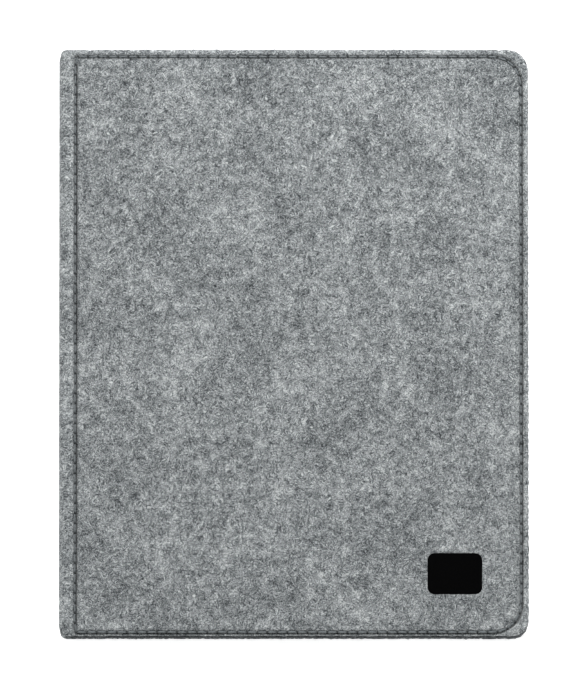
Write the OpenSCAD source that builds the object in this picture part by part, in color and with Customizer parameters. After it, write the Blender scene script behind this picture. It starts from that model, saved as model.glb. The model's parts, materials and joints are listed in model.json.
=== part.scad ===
// Book-style felt case for a 9.7 inch tablet, shown closed and lying on its back.
// +X points from the spine to the free edge, +Y to the top of the tablet and +Z out of the front cover.
// The origin is the middle of the outside of the back cover.

/* [Case] */
// Overall width, from the outside of the spine to the free edge
case_w = 199.5; // [196:0.5:204]
// Overall height
case_h = 250; // [248:1:256]
// Corner radius of both covers at the upper end of the free edge
free_corner_r = 9.4; // [6:0.2:14]
// Corner radius of both covers at the lower end of the free edge, where the felt is cut a little fuller
lower_corner_r = 7; // [5:0.2:14]
// Corner radius where the felt turns round the spine
spine_corner_r = 3.2; // [1.5:0.1:4]
// Outside radius of the bend between a cover and the spine
fold_r = 4.5; // [4:0.1:5]

/* [Layers] */
// Thickness of the felt
felt_t = 2.5; // [2:0.1:3]
// Thickness of the stiffening boards in the covers
board_t = 1.6; // [1.2:0.1:2]
// Thickness of the stiffening strip in the spine
spine_board_t = 1.2; // [1:0.1:1.4]
// Thickness of the suede lining
lining_t = 0.8; // [0.6:0.1:1]
// Thickness of the adhesive sheet under the tray
adhesive_t = 0.3; // [0.2:0.1:0.5]

/* [Stitching] */
// Distance from the outside of the spine to the seam beside it
seam_spine_inset = 7; // [6.4:0.1:8]
// Distance from the free edge to the seam
seam_free_inset = 3.1; // [2.2:0.1:3.5]
// Distance from the top edge to the seam
seam_top_inset = 3.2; // [2.2:0.1:3.5]
// Distance from the bottom edge to the seam
seam_bottom_inset = 1.5; // [1.4:0.1:3.5]
// Corner radius of the seam at the free edge
seam_corner_r = 12; // [9:0.5:14]
// Width of the needle thread on the felt
needle_thread_w = 1.1; // [0.6:0.1:1.2]
// Width of the bobbin thread on the lining
bobbin_thread_w = 0.8; // [0.5:0.1:1]

/* [Tablet and tray] */
// Width of the tablet
tablet_w = 185.7; // [185:0.1:187]
// Height of the tablet
tablet_h = 241.2; // [240:0.1:242]
// Thickness of the tablet
tablet_t = 9.4; // [8.8:0.1:9.8]
// Corner radius of the tablet
tablet_corner_r = 12; // [10:0.5:14]
// Play round the tablet, on each side
tablet_play = 0.4; // [0.2:0.1:0.5]
// Thickness of the tray's floor
tray_floor_t = 1.4; // [1.2:0.1:1.8]
// Thickness of the tray's wall
tray_wall_t = 1.5; // [1.2:0.1:1.6]
// Height of the wall between the corners, above the floor
tray_side_h = 7.6; // [6:0.2:8.4]
// How far each corner lip reaches over the tablet
lip_reach = 1.3; // [0.8:0.1:1.6]
// Thickness of the corner lips
lip_t = 0.9; // [0.8:0.1:1.2]
// Length of a corner post along each side
corner_post_l = 27; // [22:1:32]

/* [Camera window] */
// Height of the clear window for the camera and its flash
window_h = 13; // [10:0.5:16]
// Distance between the centres of the window's round ends
window_span = 9; // [4:0.5:14]
// Distance from the tablet's free side to the middle of the window
window_side_inset = 19; // [17:0.5:24]
// Distance from the tablet's top to the middle of the window
window_top_inset = 14.5; // [14:0.5:20]

/* [Badge] */
// Width of the plain badge
badge_w = 23.2; // [12:0.1:30]
// Height of the plain badge
badge_h = 17.5; // [10:0.1:24]
// Distance from the free edge to the middle of the badge
badge_free_inset = 31.4; // [22:0.1:60]
// Distance from the bottom edge to the middle of the badge
badge_bottom_inset = 26.4; // [18:0.1:60]

/* [Hidden] */
$fn = 96;
eps = 0.01;

felt_grey = [0.50, 0.52, 0.53];
lining_grey = [0.33, 0.34, 0.36];
thread_grey = [0.20, 0.22, 0.23];
board_brown = [0.52, 0.46, 0.38];
plastic_black = [0.05, 0.05, 0.055];
tray_grey = [0.27, 0.27, 0.28];

// Layers of one cover, from the outside: felt, board, lining.
cover_t = felt_t + board_t + lining_t;
hem_t = felt_t + lining_t;
// Room between the top of the corner lips and the lining of the closed cover.
cover_gap = 0.3;
// Room over the tablet under the lips.
tablet_lift = 0.2;
bay_depth = tablet_t + tablet_lift;
tray_z = cover_t + adhesive_t;
tray_floor_z = tray_z + tray_floor_t;
tray_top_z = tray_floor_z + bay_depth + lip_t;
case_t = tray_top_z + cover_gap + cover_t;

left = -case_w / 2;
right = case_w / 2;
bottom = -case_h / 2;
top = case_h / 2;
// The covers' own layers start where the bend ends.
cover_left = left + fold_r;

seam_left = left + seam_spine_inset;
seam_right = right - seam_free_inset;
seam_bottom = bottom + seam_bottom_inset;
seam_top = top - seam_top_inset;
seam_spine_r = 0.8;
groove_play = 0.2;
groove_depth = 0.5;
bobbin_groove_depth = 0.3;
thread_sink = 0.05;

// The boards stop short of the seam, so that the needle passes beside them.
board_inset = 1.9;
board_left = seam_left + board_inset;
board_right = seam_right - board_inset;
board_bottom = seam_bottom + board_inset;
board_top = seam_top - board_inset;
board_spine_r = 2;
board_free_r = seam_corner_r - board_inset;
lining_edge = 0.5;

// Each bend belongs to the spine. It stops this many degrees short of the cover, so that the fold can turn.
fold_cut_angle = 17;

bay_w = tablet_w + 2 * tablet_play;
bay_h = tablet_h + 2 * tablet_play;
bay_r = tablet_corner_r + tablet_play;
tray_w = bay_w + 2 * tray_wall_t;
tray_h = bay_h + 2 * tray_wall_t;
tray_r = bay_r + tray_wall_t;
tray_margin = 2.5;
tray_x = right - tray_margin - tray_w / 2;
window_x = tray_x + tablet_w / 2 - window_side_inset;
window_y = tablet_h / 2 - window_top_inset;

grommet_sleeve_t = 1.5;
grommet_flange_w = 4;
grommet_flange_t = 0.8;

// The magnets lie in pockets in the front board, with a little play all round.
magnet_t = 1.4;
magnet_play = 0.2;
magnet_z = felt_t + (board_t - magnet_t) / 2;
closure_magnet = [5, 18];
closure_magnet_x = board_right - 5;
closure_magnet_ys = [-75, 0, 75];
wake_magnet_r = 5;
wake_magnet_x = board_right - 9;
wake_magnet_y = 38;

badge_t = 0.3;
badge_r = 3;
badge_x = right - badge_free_inset;
badge_y = bottom + badge_bottom_inset;

// The spine's board stops short of both bends and of both ends.
spine_board_bend_gap = 1.6;
spine_board_end_gap = 4;

adhesive_edge_gap = 4.5;
adhesive_window_gap = 2;

// Between its corner posts the tray's wall is lower. Its gaps for buttons and plugs go almost to the floor.
side_rim_z = tray_floor_z + tray_side_h;
control_gap_z = tray_floor_z + 1.6;
control_gap_r = 1.8;
dock_gap_w = 36;
power_gap_w = 20;
power_gap_x = tray_x + tablet_w / 2 - 36;
jack_gap_w = 13;
jack_gap_x = tray_x - tablet_w / 2 + 38;
volume_gap_w = 40;
volume_gap_y = tablet_h / 2 - 51;

speaker_slot_w = 1.6;
speaker_slot_h = 3.6;
speaker_slot_z = tray_floor_z + 2;
speaker_slot_pitch = 3.2;
speaker_slots = 7;
speaker_x = tray_x + tablet_w / 2 - 52;

// How far a cut runs past the faces it goes through.
clear = 1;
// Depth of a cut through the wall and the lip inside it.
wall_cut_depth = clear + tray_wall_t + lip_reach + clear;

// A rectangle with one corner radius towards the spine and one at the free edge, or two if the lower one is given.
module outline(x0, x1, y0, y1, r_spine, r_free, r_low) {
    r_lower = is_undef(r_low) ? r_free : r_low;
    r_side = max(r_free, r_lower);
    translate([x0 + r_spine, y0]) square([x1 - r_side - x0 - r_spine, y1 - y0]);
    translate([x0, y0 + r_spine]) square([r_spine + eps, y1 - y0 - 2 * r_spine]);
    translate([x1 - r_side - eps, y0 + r_lower]) square([r_side + eps, y1 - y0 - r_lower - r_free]);
    if (r_lower < r_side) {
        translate([x1 - r_side - eps, y0]) square([r_side - r_lower + eps, r_lower + eps]);
    }
    if (r_free < r_side) {
        translate([x1 - r_side - eps, y1 - r_free - eps]) square([r_side - r_free + eps, r_free + eps]);
    }
    for (y = [y0 + r_spine, y1 - r_spine]) translate([x0 + r_spine, y]) circle(r_spine);
    translate([x1 - r_lower, y0 + r_lower]) circle(r_lower);
    translate([x1 - r_free, y1 - r_free]) circle(r_free);
}

// A slab of an outline, from one height to another.
module slab(z0, z1) {
    translate([0, 0, z0]) linear_extrude(z1 - z0) children();
}

module case_plan() {
    outline(left, right, bottom, top, spine_corner_r, free_corner_r, lower_corner_r);
}

// The part of the plan that belongs to a cover, which starts at the bend.
module cover_plan(inset = 0) {
    intersection() {
        outline(
            left, right - inset, bottom + inset, top - inset,
            spine_corner_r, free_corner_r - inset, lower_corner_r - inset
        );
        translate([cover_left + inset, bottom]) square([case_w, case_h]);
    }
}

module board_plan(grow = 0) {
    outline(
        board_left - grow, board_right + grow, board_bottom - grow, board_top + grow,
        board_spine_r + grow, board_free_r + grow
    );
}

// The line that the needle follows, as a closed band.
module seam_band(width) {
    difference() {
        outline(
            seam_left - width / 2, seam_right + width / 2, seam_bottom - width / 2, seam_top + width / 2,
            seam_spine_r + width / 2, seam_corner_r + width / 2
        );
        outline(
            seam_left + width / 2, seam_right - width / 2, seam_bottom + width / 2, seam_top - width / 2,
            seam_spine_r - width / 2, seam_corner_r - width / 2
        );
    }
}

// The camera window, a slot with round ends, grown by a width all round.
module window_plan(grow = 0) {
    r = window_h / 2 + grow;
    translate([window_x, window_y]) {
        square([window_span, 2 * r], center = true);
        for (side = [-1, 1]) translate([side * window_span / 2, 0]) circle(r);
    }
}

module badge_plan() {
    outline(
        badge_x - badge_w / 2, badge_x + badge_w / 2, badge_y - badge_h / 2, badge_y + badge_h / 2,
        badge_r, badge_r
    );
}

module closure_magnet_plan(grow = 0) {
    for (y = closure_magnet_ys)
        translate([closure_magnet_x, y]) square(closure_magnet + 2 * [grow, grow], center = true);
}

module wake_magnet_plan(grow = 0) {
    translate([wake_magnet_x, wake_magnet_y]) circle(wake_magnet_r + grow);
}

// Puts a layer that is drawn for the back cover on the front cover.
module on_front() {
    translate([0, 0, case_t]) mirror([0, 0, 1]) children();
}

// Felt of one cover, outside face down, with the groove that the thread sinks into.
module cover_felt() {
    difference() {
        slab(0, felt_t) cover_plan();
        slab(-clear, groove_depth) seam_band(needle_thread_w + 2 * groove_play);
        children();
    }
}

// Lining of one cover: it lies on the felt round the hem and steps up over the board.
module cover_lining() {
    difference() {
        union() {
            slab(felt_t, hem_t) cover_plan(lining_edge);
            slab(felt_t, cover_t) board_plan(lining_t);
        }
        slab(felt_t - clear, felt_t + board_t) board_plan();
        slab(hem_t - bobbin_groove_depth, cover_t) seam_band(bobbin_thread_w + 2 * groove_play);
        children();
    }
}

module needle_thread() {
    slab(thread_sink, groove_depth) seam_band(needle_thread_w);
}

module bobbin_thread() {
    slab(hem_t - bobbin_groove_depth, hem_t - thread_sink) seam_band(bobbin_thread_w);
}

module front_felt() {
    color(felt_grey) on_front() cover_felt() slab(-clear, badge_t) badge_plan();
}

module front_board() {
    color(board_brown) on_front() slab(felt_t, felt_t + board_t) difference() {
        board_plan();
        closure_magnet_plan(magnet_play);
        wake_magnet_plan(magnet_play);
    }
}

module front_lining() {
    color(lining_grey) on_front() cover_lining();
}

module front_needle_thread() {
    color(thread_grey) on_front() needle_thread();
}

module front_bobbin_thread() {
    color(thread_grey) on_front() bobbin_thread();
}

module closure_magnets() {
    color("silver") on_front() slab(magnet_z, magnet_z + magnet_t) closure_magnet_plan();
}

module wake_magnet() {
    color("silver") on_front() slab(magnet_z, magnet_z + magnet_t) wake_magnet_plan();
}

module badge() {
    color("black") on_front() slab(0, badge_t) badge_plan();
}

// One bend of the felt as a section in X and Z, curving up from below its centre to the spine.
module fold_section() {
    intersection() {
        difference() {
            circle(fold_r);
            circle(fold_r - felt_t);
        }
        rotate(-fold_cut_angle) translate([-2 * fold_r, -2 * fold_r]) square([2 * fold_r, 4 * fold_r]);
        translate([-2 * fold_r, -2 * fold_r]) square(2 * fold_r);
    }
}

module spine_section() {
    translate([left, fold_r - eps]) square([felt_t, case_t - 2 * fold_r + 2 * eps]);
    translate([left + fold_r, fold_r]) fold_section();
    translate([left + fold_r, case_t - fold_r]) mirror([0, 1]) fold_section();
}

// A section in X and Z, run along the whole height of the case.
module along_spine(length) {
    translate([0, length / 2, 0]) rotate([90, 0, 0]) linear_extrude(length) children();
}

module spine_felt() {
    color(felt_grey) intersection() {
        along_spine(case_h) spine_section();
        slab(-clear, case_t + clear) case_plan();
    }
}

// The spine's board, or with a layer of the given thickness over its face and edges.
module spine_board_block(layer = 0) {
    z0 = fold_r + spine_board_bend_gap - layer;
    along_spine(case_h - 2 * spine_board_end_gap + 2 * layer)
        translate([left + felt_t, z0]) square([spine_board_t + layer, case_t - 2 * z0]);
}

module spine_board() {
    color(board_brown) spine_board_block();
}

module spine_lining() {
    color(lining_grey) difference() {
        spine_board_block(lining_t);
        spine_board_block();
    }
}

module back_felt() {
    color(felt_grey) cover_felt() {
        slab(-clear, felt_t + clear) window_plan(grommet_sleeve_t);
        slab(-clear, grommet_flange_t) window_plan(grommet_flange_w);
    }
}

module back_board() {
    color(board_brown) slab(felt_t, felt_t + board_t) difference() {
        board_plan();
        window_plan(grommet_sleeve_t);
    }
}

module back_lining() {
    color(lining_grey) cover_lining() slab(0, cover_t + clear) window_plan(grommet_sleeve_t);
}

module back_needle_thread() {
    color(thread_grey) needle_thread();
}

module back_bobbin_thread() {
    color(thread_grey) bobbin_thread();
}

// Flanged ring that holds the layers together round the camera window.
module camera_grommet() {
    color(plastic_black) slab(0, grommet_flange_t) difference() {
        window_plan(grommet_flange_w);
        window_plan();
    }
    color(plastic_black) slab(grommet_flange_t - eps, cover_t) difference() {
        window_plan(grommet_sleeve_t);
        window_plan();
    }
}

// The tray's plan, grown outwards from the bay that the tablet lies in.
module tray_plan(grow = 0) {
    translate([tray_x, 0]) outline(
        -bay_w / 2 - grow, bay_w / 2 + grow, -bay_h / 2 - grow, bay_h / 2 + grow, bay_r + grow, bay_r + grow
    );
}

module tray_adhesive() {
    color("white") slab(cover_t, tray_z) difference() {
        tray_plan(-adhesive_edge_gap);
        window_plan(adhesive_window_gap);
    }
}

// The wall's lowered stretch between two corners, as seen from outside: its ends lean outwards.
module low_stretch(length) {
    rise = tray_top_z + clear - side_rim_z;
    polygon([
        [-length / 2, side_rim_z], [length / 2, side_rim_z],
        [length / 2 + rise, side_rim_z + rise], [-length / 2 - rise, side_rim_z + rise]
    ]);
}

// A gap in the wall for a button or a plug, as seen from outside: open at the top, round at the foot.
module control_gap(length) {
    r = control_gap_r;
    translate([-length / 2, control_gap_z + r]) square([length, tray_top_z + clear - control_gap_z - r]);
    translate([r - length / 2, control_gap_z]) square([length - 2 * r, r + eps]);
    for (side = [-1, 1]) translate([side * (length / 2 - r), control_gap_z + r]) circle(r);
}

// The slots over the speaker, as seen from outside.
module speaker_grille() {
    for (i = [0 : speaker_slots - 1])
        translate([(i - (speaker_slots - 1) / 2) * speaker_slot_pitch - speaker_slot_w / 2, speaker_slot_z])
            square([speaker_slot_w, speaker_slot_h]);
}

// Runs a shape through the wall at the top (side = 1) or the bottom (side = -1) of the tray, centred on x.
module through_end_wall(side, x) {
    wall_y = side * (tray_h / 2 + clear);
    translate([x, side > 0 ? wall_y : wall_y + wall_cut_depth, 0])
        rotate([90, 0, 0]) linear_extrude(wall_cut_depth) children();
}

// Runs a shape through the wall at the free edge (side = 1) or the spine (side = -1), centred on y.
module through_side_wall(side, y) {
    wall_x = tray_x + side * (tray_w / 2 + clear);
    translate([side > 0 ? wall_x - wall_cut_depth : wall_x, y, 0])
        rotate([90, 0, 90]) linear_extrude(wall_cut_depth) children();
}

// Snap-in tray: a floor, a wall with gaps for the controls and ports, and four lipped corners.
module tablet_tray() {
    color(tray_grey) difference() {
        slab(tray_z, tray_top_z) tray_plan(tray_wall_t);
        slab(tray_floor_z, tray_floor_z + bay_depth) tray_plan();
        slab(tray_floor_z, tray_top_z + clear) tray_plan(-lip_reach);
        slab(tray_z - clear, tray_floor_z + clear) window_plan();
        for (side = [-1, 1]) {
            through_end_wall(side, tray_x) low_stretch(tray_w - 2 * corner_post_l);
            through_side_wall(side, 0) low_stretch(tray_h - 2 * corner_post_l);
        }
        through_end_wall(-1, tray_x) control_gap(dock_gap_w);
        through_end_wall(1, power_gap_x) control_gap(power_gap_w);
        through_end_wall(1, jack_gap_x) control_gap(jack_gap_w);
        through_side_wall(1, volume_gap_y) control_gap(volume_gap_w);
        through_end_wall(-1, speaker_x) speaker_grille();
    }
}

front_felt();
front_board();
front_lining();
front_needle_thread();
front_bobbin_thread();
closure_magnets();
wake_magnet();
badge();
spine_felt();
spine_board();
spine_lining();
back_felt();
back_board();
back_lining();
back_needle_thread();
back_bobbin_thread();
camera_grommet();
tray_adhesive();
tablet_tray();
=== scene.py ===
import json
import math

import bpy
import numpy as np
from mathutils import Vector, geometry, kdtree, noise
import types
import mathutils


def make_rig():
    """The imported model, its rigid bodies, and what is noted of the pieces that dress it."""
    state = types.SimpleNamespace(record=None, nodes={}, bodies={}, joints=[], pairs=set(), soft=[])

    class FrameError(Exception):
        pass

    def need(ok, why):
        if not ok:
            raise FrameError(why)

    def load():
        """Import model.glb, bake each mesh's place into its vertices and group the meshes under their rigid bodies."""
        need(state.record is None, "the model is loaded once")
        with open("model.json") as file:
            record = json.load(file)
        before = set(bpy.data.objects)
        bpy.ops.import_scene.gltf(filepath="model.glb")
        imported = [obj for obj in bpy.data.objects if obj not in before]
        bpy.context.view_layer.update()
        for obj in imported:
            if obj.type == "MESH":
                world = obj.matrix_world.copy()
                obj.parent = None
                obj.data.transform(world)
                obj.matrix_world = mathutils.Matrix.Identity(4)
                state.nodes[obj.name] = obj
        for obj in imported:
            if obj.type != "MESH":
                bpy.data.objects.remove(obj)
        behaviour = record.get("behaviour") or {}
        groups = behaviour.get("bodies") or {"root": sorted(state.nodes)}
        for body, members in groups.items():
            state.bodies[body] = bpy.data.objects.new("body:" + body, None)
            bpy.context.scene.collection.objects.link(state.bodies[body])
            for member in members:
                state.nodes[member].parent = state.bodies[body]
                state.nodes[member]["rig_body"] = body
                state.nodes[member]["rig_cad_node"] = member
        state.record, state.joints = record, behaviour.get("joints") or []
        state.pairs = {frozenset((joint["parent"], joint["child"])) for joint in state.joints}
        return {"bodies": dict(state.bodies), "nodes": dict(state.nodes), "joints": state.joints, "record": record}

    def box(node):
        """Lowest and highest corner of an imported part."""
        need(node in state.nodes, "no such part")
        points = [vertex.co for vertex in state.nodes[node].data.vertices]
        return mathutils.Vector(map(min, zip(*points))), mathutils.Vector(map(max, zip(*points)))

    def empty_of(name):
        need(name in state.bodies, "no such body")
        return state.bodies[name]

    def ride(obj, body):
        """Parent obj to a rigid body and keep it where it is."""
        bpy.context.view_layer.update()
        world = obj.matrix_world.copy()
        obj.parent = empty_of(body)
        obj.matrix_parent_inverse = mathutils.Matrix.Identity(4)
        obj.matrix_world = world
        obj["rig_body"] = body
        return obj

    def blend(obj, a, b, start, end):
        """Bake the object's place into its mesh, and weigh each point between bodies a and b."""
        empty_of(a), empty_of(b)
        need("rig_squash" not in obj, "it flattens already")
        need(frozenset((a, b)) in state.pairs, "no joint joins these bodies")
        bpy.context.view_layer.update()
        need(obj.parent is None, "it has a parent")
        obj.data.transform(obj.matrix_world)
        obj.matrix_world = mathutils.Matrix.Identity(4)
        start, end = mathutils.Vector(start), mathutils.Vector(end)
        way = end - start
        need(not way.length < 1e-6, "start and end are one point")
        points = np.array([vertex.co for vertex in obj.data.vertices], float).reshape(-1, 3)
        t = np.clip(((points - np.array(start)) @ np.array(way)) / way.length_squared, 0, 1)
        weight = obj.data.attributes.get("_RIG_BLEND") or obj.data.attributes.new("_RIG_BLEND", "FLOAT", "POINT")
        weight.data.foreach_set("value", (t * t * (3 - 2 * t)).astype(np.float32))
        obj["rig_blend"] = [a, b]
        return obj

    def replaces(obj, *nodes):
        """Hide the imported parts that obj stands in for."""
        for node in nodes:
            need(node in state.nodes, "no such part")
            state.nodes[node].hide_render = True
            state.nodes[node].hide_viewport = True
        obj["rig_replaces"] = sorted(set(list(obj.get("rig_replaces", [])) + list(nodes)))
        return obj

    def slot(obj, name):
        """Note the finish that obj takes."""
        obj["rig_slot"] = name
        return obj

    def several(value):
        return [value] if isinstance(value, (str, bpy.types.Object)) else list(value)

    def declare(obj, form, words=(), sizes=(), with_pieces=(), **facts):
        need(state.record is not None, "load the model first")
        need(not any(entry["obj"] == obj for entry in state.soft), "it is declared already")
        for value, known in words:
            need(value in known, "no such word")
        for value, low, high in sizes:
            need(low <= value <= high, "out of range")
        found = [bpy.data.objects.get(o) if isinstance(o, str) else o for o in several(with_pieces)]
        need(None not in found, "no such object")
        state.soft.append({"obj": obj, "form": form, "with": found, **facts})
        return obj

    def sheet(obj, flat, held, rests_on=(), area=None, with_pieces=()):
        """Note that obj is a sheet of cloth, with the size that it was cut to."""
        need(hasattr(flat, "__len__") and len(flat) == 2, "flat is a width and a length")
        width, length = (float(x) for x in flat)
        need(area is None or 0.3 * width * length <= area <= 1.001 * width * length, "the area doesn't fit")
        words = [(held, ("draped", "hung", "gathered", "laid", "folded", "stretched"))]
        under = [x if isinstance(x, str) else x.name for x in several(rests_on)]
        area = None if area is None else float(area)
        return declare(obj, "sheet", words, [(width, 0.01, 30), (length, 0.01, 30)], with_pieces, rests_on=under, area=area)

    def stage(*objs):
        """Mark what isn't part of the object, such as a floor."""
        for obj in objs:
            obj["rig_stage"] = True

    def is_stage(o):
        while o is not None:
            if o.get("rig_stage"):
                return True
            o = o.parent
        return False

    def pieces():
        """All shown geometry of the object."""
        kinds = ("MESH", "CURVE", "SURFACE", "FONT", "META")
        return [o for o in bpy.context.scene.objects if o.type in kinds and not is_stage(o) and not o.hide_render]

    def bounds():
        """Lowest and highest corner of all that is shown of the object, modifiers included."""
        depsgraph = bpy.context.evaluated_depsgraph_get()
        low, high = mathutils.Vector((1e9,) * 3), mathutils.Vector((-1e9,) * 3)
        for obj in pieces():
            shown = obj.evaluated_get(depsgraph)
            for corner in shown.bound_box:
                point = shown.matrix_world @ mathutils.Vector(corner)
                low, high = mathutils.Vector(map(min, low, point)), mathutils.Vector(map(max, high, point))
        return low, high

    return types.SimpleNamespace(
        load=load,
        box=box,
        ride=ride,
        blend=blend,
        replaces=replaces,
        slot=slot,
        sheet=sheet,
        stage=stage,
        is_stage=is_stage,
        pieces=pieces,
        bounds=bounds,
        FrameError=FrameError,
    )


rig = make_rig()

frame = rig.load()
cad_low, cad_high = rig.bounds()

MM = 0.001


# Sizes, in millimetres, as in the CAD

def box_mm(node):
    """The two corners of a CAD node's box."""
    low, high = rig.box(node)
    return np.array(low) / MM, np.array(high) / MM


FELT_LOW, FELT_HIGH = box_mm("back_felt")
SPINE_LOW, _ = box_mm("spine_felt")
LEFT, RIGHT = SPINE_LOW[0], FELT_HIGH[0]
BOTTOM, TOP = FELT_LOW[1], FELT_HIGH[1]
CASE_T = cad_high[2] / MM
COVER_LEFT = FELT_LOW[0]
FOLD_R = COVER_LEFT - LEFT
FELT_T = FELT_HIGH[2]
LINING_T = 0.8
BOARD_LOW, BOARD_HIGH = box_mm("back_board")
BOARD_T = BOARD_HIGH[2] - BOARD_LOW[2]
BADGE_LOW, BADGE_HIGH = box_mm("badge")
HEM_T = FELT_T + LINING_T
FREE_R = 9.4
LOWER_FREE_R = 7.0
SPINE_R = 3.2
# The boards stop this far short of the seam.
BOARD_INSET = 1.9
SEAM_R = 12.0
SEAM_SPINE_R = 0.8
BOARD_R = SEAM_R - BOARD_INSET
BOARD_SPINE_R = 2.0
LINING_EDGE = 0.5
STITCH = 4.25
BADGE_R = 3.0

# The middle of the felt in the bend, whose length stays the same when it folds
BEND_R = FOLD_R - FELT_T / 2
BEND_L = BEND_R * math.pi / 2
HALF_SPINE = CASE_T / 2 - FOLD_R
U_MIN = -(BEND_L + HALF_SPINE)
U_FREE = RIGHT - COVER_LEFT


def sheet_box(low, high):
    """A box across and up the sheet: left, right, bottom, top."""
    return low[0] - COVER_LEFT, high[0] - COVER_LEFT, low[1], high[1]


COVER_BOX = (0, U_FREE, BOTTOM, TOP)
BOARD_BOX = sheet_box(BOARD_LOW, BOARD_HIGH)
SEAM_BOX = sheet_box(BOARD_LOW - BOARD_INSET, BOARD_HIGH + BOARD_INSET)
BADGE_BOX = sheet_box(BADGE_LOW, BADGE_HIGH)

# An outline is a box with the radii on its left and on its right.
# The felt's runs on past the middle of the spine, where the felt has no corners.
FELT_OUTLINE = (U_MIN - 20, U_FREE, BOTTOM, TOP, 1.0, FREE_R)


# Outlines in the plane of the sheet

def rounded_loop(x0, x1, y0, y1, r_left, r_right, step, r_low=None):
    """Points round a rectangle, anticlockwise from the lower left, with one radius on each side.

    The lower right corner may have a radius of its own, r_low.
    """
    points = []
    r_low = r_low or r_right

    def line(ax, ay, bx, by):
        n = max(1, round(math.hypot(bx - ax, by - ay) / step))
        points.extend((ax + (bx - ax) * i / n, ay + (by - ay) * i / n) for i in range(n))

    def arc(cx, cy, r, start):
        n = max(2, round(r * math.pi / 2 / step))
        for i in range(n):
            a = start + math.pi / 2 * i / n
            points.append((cx + r * math.cos(a), cy + r * math.sin(a)))

    line(x0 + r_left, y0, x1 - r_low, y0)
    arc(x1 - r_low, y0 + r_low, r_low, -math.pi / 2)
    line(x1, y0 + r_low, x1, y1 - r_right)
    arc(x1 - r_right, y1 - r_right, r_right, 0)
    line(x1 - r_right, y1, x0 + r_left, y1)
    arc(x0 + r_left, y1 - r_left, r_left, math.pi / 2)
    line(x0, y1 - r_left, x0, y0 + r_left)
    arc(x0 + r_left, y0 + r_left, r_left, math.pi)
    return np.array(points)


def inside_depth(p, x0, x1, y0, y1, r_left, r_right, r_low=None):
    """How far inside the rounded rectangle each point lies; negative outside."""
    cx, cy = (x0 + x1) / 2, (y0 + y1) / 2
    r = np.where(p[:, 0] > cx, np.where(p[:, 1] < cy, r_low or r_right, r_right), r_left)
    qx = np.abs(p[:, 0] - cx) - (x1 - x0) / 2 + r
    qy = np.abs(p[:, 1] - cy) - (y1 - y0) / 2 + r
    return r - np.hypot(np.maximum(qx, 0), np.maximum(qy, 0)) - np.minimum(np.maximum(qx, qy), 0)


def along(loop, distances, closed=True):
    """Points and directions at these distances along the loop, and the loop's length."""
    ring = np.vstack([loop, loop[:1]]) if closed else loop
    step = np.diff(ring, axis=0)
    lengths = np.hypot(step[:, 0], step[:, 1])
    at = np.concatenate([[0], np.cumsum(lengths)])
    d = np.asarray(distances) % at[-1] if closed else np.asarray(distances)
    i = np.clip(np.searchsorted(at, d, side="right") - 1, 0, len(lengths) - 1)
    t = ((d - at[i]) / lengths[i])[:, None]
    return ring[i] + step[i] * t, step[i] / lengths[i][:, None], at[-1]


def smooth(x):
    """0 below 0, 1 above 1, and a smooth step between."""
    x = np.clip(x, 0, 1)
    return x * x * (3 - 2 * x)


def wander(p, size, seed):
    """Smooth noise about zero at each point, with features of this size."""
    return np.array([noise.noise(Vector((x / size + seed, y / size - seed, seed * 1.7))) for x, y in p])


def grown(box, by):
    """The box, larger by this much on each side."""
    x0, x1, y0, y1 = box
    return x0 - by, x1 + by, y0 - by, y1 + by


def right_of(direction):
    """The unit vectors that point to the right of these directions, which is out of an anticlockwise loop."""
    return np.c_[direction[:, 1], -direction[:, 0]]


SEAM_LOOP = rounded_loop(*SEAM_BOX, SEAM_SPINE_R, SEAM_R, 0.25)
_, _, SEAM_LENGTH = along(SEAM_LOOP, [0])
STITCHES = round(SEAM_LENGTH / STITCH)
PITCH = SEAM_LENGTH / STITCHES

seam_steps = np.diff(np.vstack([SEAM_LOOP, SEAM_LOOP[:1]]), axis=0)
seam_at = np.concatenate([[0], np.cumsum(np.hypot(*seam_steps.T))])[:-1]
seam_tree = kdtree.KDTree(len(SEAM_LOOP))
for i, (x, y) in enumerate(SEAM_LOOP):
    seam_tree.insert((x, y, 0), i)
seam_tree.balance()


def seam_distance(p, reach=5.0):
    """Distance to the seam and the place along it, for each point; far points get the reach."""
    off = np.full(len(p), reach)
    place = np.zeros(len(p))
    for k, (x, y) in enumerate(p):
        co, i, d = seam_tree.find((x, y, 0))
        if d < reach:
            ax, ay = SEAM_LOOP[i - 1]
            bx, by = SEAM_LOOP[(i + 1) % len(SEAM_LOOP)]
            length = math.hypot(bx - ax, by - ay)
            t = ((x - co[0]) * (bx - ax) + (y - co[1]) * (by - ay)) / length
            off[k] = math.sqrt(max(d * d - t * t, 0))
            place[k] = seam_at[i] + t
    return off, place


def hole_distance(place):
    """How far along the seam each place is from the nearest needle hole."""
    return np.abs((place / PITCH + 0.5) % 1 - 0.5) * PITCH


# The camera window

WINDOW_LOW, WINDOW_HIGH = box_mm("camera_grommet")
WINDOW_X, WINDOW_Y = (WINDOW_LOW[:2] + WINDOW_HIGH[:2]) / 2
FLANGE_W = 4.0
WINDOW_R = (WINDOW_HIGH[1] - WINDOW_LOW[1]) / 2 - FLANGE_W
WINDOW_SPAN = (WINDOW_HIGH[0] - WINDOW_LOW[0]) - 2 * (WINDOW_R + FLANGE_W)


def window_loop(grow, step):
    """The window's outline, grown by a width, anticlockwise."""
    r, h, x, y = WINDOW_R + grow, WINDOW_SPAN / 2, WINDOW_X - COVER_LEFT, WINDOW_Y
    n, m = round(math.pi * r / step), round(2 * h / step)
    half_turn = np.linspace(-math.pi / 2, math.pi / 2, n)
    loop = [(x + h + r * math.cos(a), y + r * math.sin(a)) for a in half_turn]
    loop += [(x + h - 2 * h * i / m, y + r) for i in range(1, m)]
    loop += [(x - h - r * math.cos(a), y - r * math.sin(a)) for a in half_turn]
    loop += [(x - h + 2 * h * i / m, y - r) for i in range(1, m)]
    return np.array(loop)


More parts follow.
